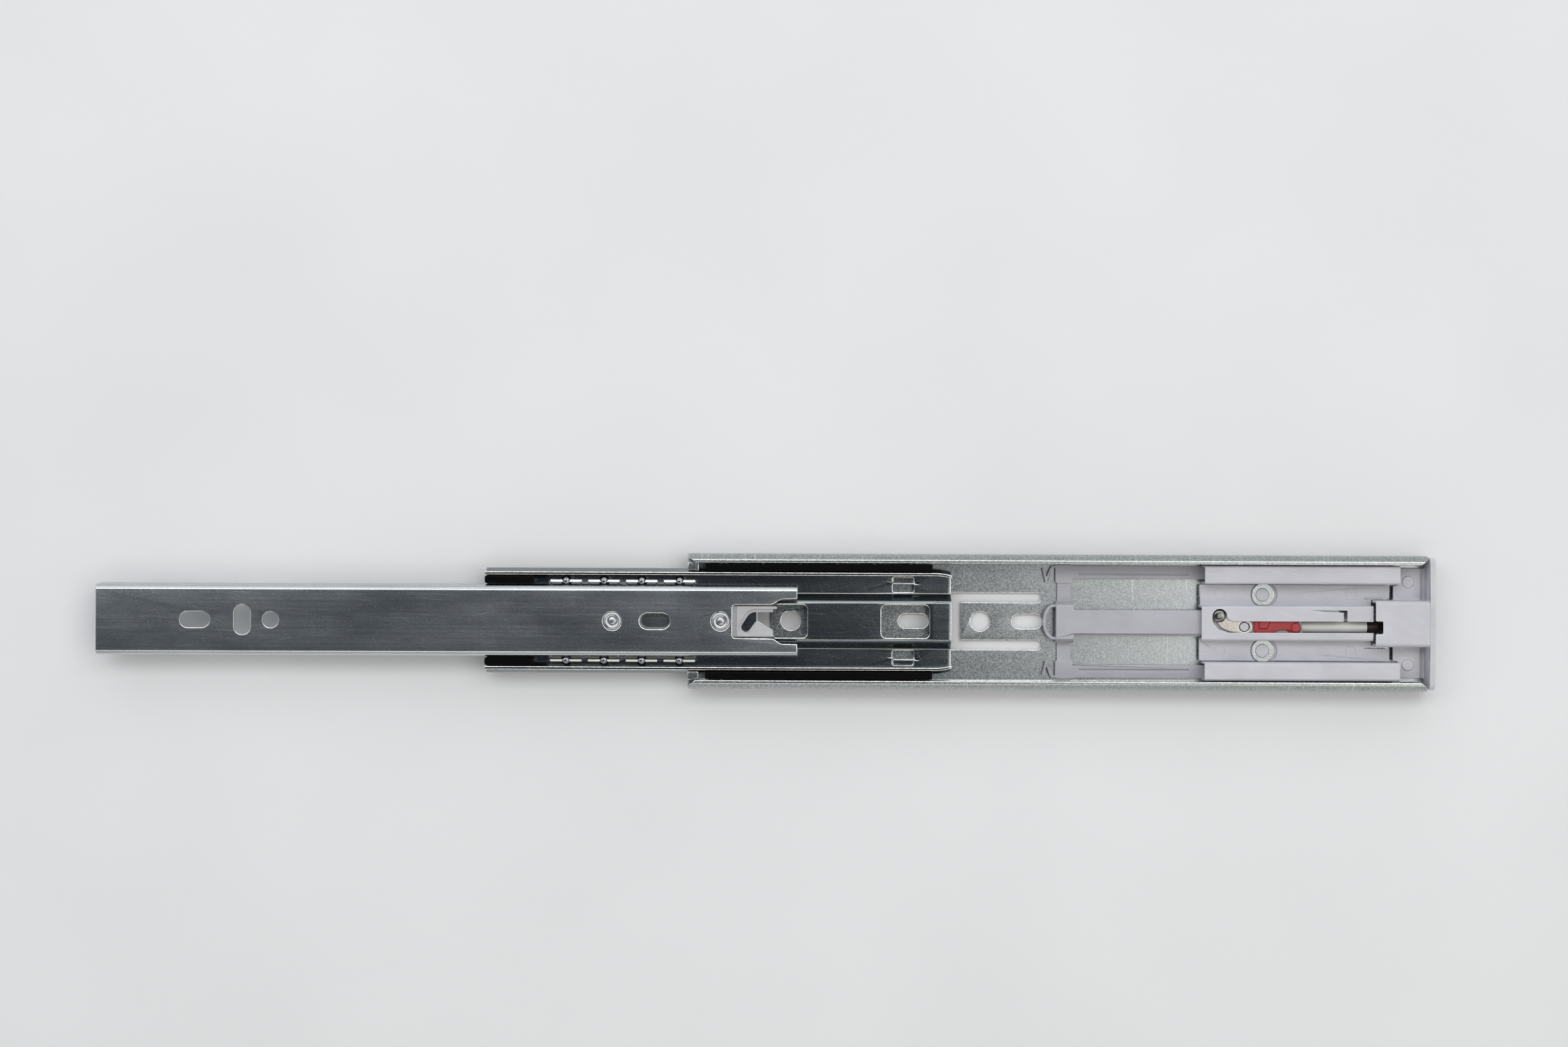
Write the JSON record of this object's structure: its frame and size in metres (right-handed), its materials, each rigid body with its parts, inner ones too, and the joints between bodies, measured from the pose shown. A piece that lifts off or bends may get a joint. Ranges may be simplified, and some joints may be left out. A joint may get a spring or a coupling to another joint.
{
  "type": "cabinet drawer slide",
  "caption": "Three-member ball-bearing drawer slide, part open, with ball cages, latch catch and a sprung soft-close damper unit.",
  "frame": {"origin": "middle of the cabinet member's flat back face: halfway along its 250 mm and on its centre line", "axes": "+X along the slide towards its rear, +Y across it, +Z away from the cabinet wall towards the drawer"},
  "size_m": [0.4483, 0.0454, 0.0127],
  "materials": {
    "galvanised_steel": "galvanised zinc, fine spangle, satin",
    "zinc_steel": "zinc plated, satin, lightly scratched",
    "dark_zinc_steel": "dark blue-grey zinc plating, satin, scratched",
    "cage_steel": "bright rolled steel",
    "rivet_steel": "zinc plated, turned",
    "ball_steel": "polished",
    "polished_steel": "polished",
    "spring_steel": "drawn wire",
    "nickel_steel": "nickel plated, satin",
    "cylinder_steel": "cream coated",
    "grey_plastic": "moulded, fine grain",
    "carriage_plastic": "moulded, satin",
    "catch_plastic": "moulded, satin",
    "black_plastic": "moulded, satin",
    "brown_plastic": "moulded, satin",
    "red_plastic": "moulded, satin"
  },
  "bodies": {
    "cabinet": {"cabinet_member": "galvanised_steel", "damper_housing": "grey_plastic", "rear_cap": "grey_plastic", "damper_cylinder": "cylinder_steel", "damper_end_cap": "brown_plastic", "side_cover_upper": "grey_plastic", "side_cover_lower": "grey_plastic", "spring_eyelet_upper": "galvanised_steel", "spring_eyelet_lower": "galvanised_steel", "closing_spring_upper": "spring_steel", "closing_spring_lower": "spring_steel"},
    "intermediate": {"intermediate_member": "zinc_steel", "front_bumper_upper": "black_plastic", "front_bumper_lower": "black_plastic"},
    "drawer": {"drawer_member": "dark_zinc_steel", "latch_catch": "catch_plastic", "catch_rivet_1": "rivet_steel", "catch_rivet_2": "rivet_steel"},
    "outer_cages": {"outer_ball_cage_upper": "black_plastic", "outer_ball_cage_lower": "black_plastic", "outer_ball_upper_1": "ball_steel", "outer_ball_upper_2": "ball_steel", "outer_ball_upper_3": "ball_steel", "outer_ball_upper_4": "ball_steel", "outer_ball_upper_5": "ball_steel", "outer_ball_upper_6": "ball_steel", "outer_ball_lower_1": "ball_steel", "outer_ball_lower_2": "ball_steel", "outer_ball_lower_3": "ball_steel", "outer_ball_lower_4": "ball_steel", "outer_ball_lower_5": "ball_steel", "outer_ball_lower_6": "ball_steel"},
    "inner_cage": {"inner_ball_cage": "cage_steel", "inner_ball_upper_1": "ball_steel", "inner_ball_upper_2": "ball_steel", "inner_ball_upper_3": "ball_steel", "inner_ball_upper_4": "ball_steel", "inner_ball_lower_1": "ball_steel", "inner_ball_lower_2": "ball_steel", "inner_ball_lower_3": "ball_steel", "inner_ball_lower_4": "ball_steel"},
    "carriage": {"carriage": "carriage_plastic", "damper_rod": "polished_steel", "brake_slider": "red_plastic", "latch_pivot": "grey_plastic"},
    "latch": {"latch_arm": "nickel_steel", "latch_pin": "polished_steel"}
  },
  "joints": [
    {"name": "intermediate_slide", "type": "slide", "parent": "cabinet", "child": "intermediate", "axis": [1, 0, 0], "range_m": [-0.004, 0.068]},
    {"name": "drawer_slide", "type": "slide", "parent": "intermediate", "child": "drawer", "axis": [1, 0, 0], "range_m": [-0.003, 0.1298]},
    {"name": "outer_cage_slide", "type": "slide", "parent": "cabinet", "child": "outer_cages", "axis": [1, 0, 0], "range_m": [-0.002, 0.034]},
    {"name": "inner_cage_slide", "type": "slide", "parent": "intermediate", "child": "inner_cage", "axis": [1, 0, 0], "range_m": [-0.0015, 0.0649]},
    {"name": "carriage_slide", "type": "slide", "parent": "cabinet", "child": "carriage", "axis": [1, 0, 0], "range_m": [0, 0.038]},
    {"name": "latch_turn", "type": "hinge", "parent": "carriage", "child": "latch", "pos_m": [0.062, -0.0013, 0.00707], "axis": [0, 0, 1], "range_deg": [0, 23.2]}
  ],
  "couplings": [
    {"joint": "outer_cage_slide", "follows": "intermediate_slide", "ratio": 0.5},
    {"joint": "inner_cage_slide", "follows": "drawer_slide", "ratio": 0.5}
  ]
}
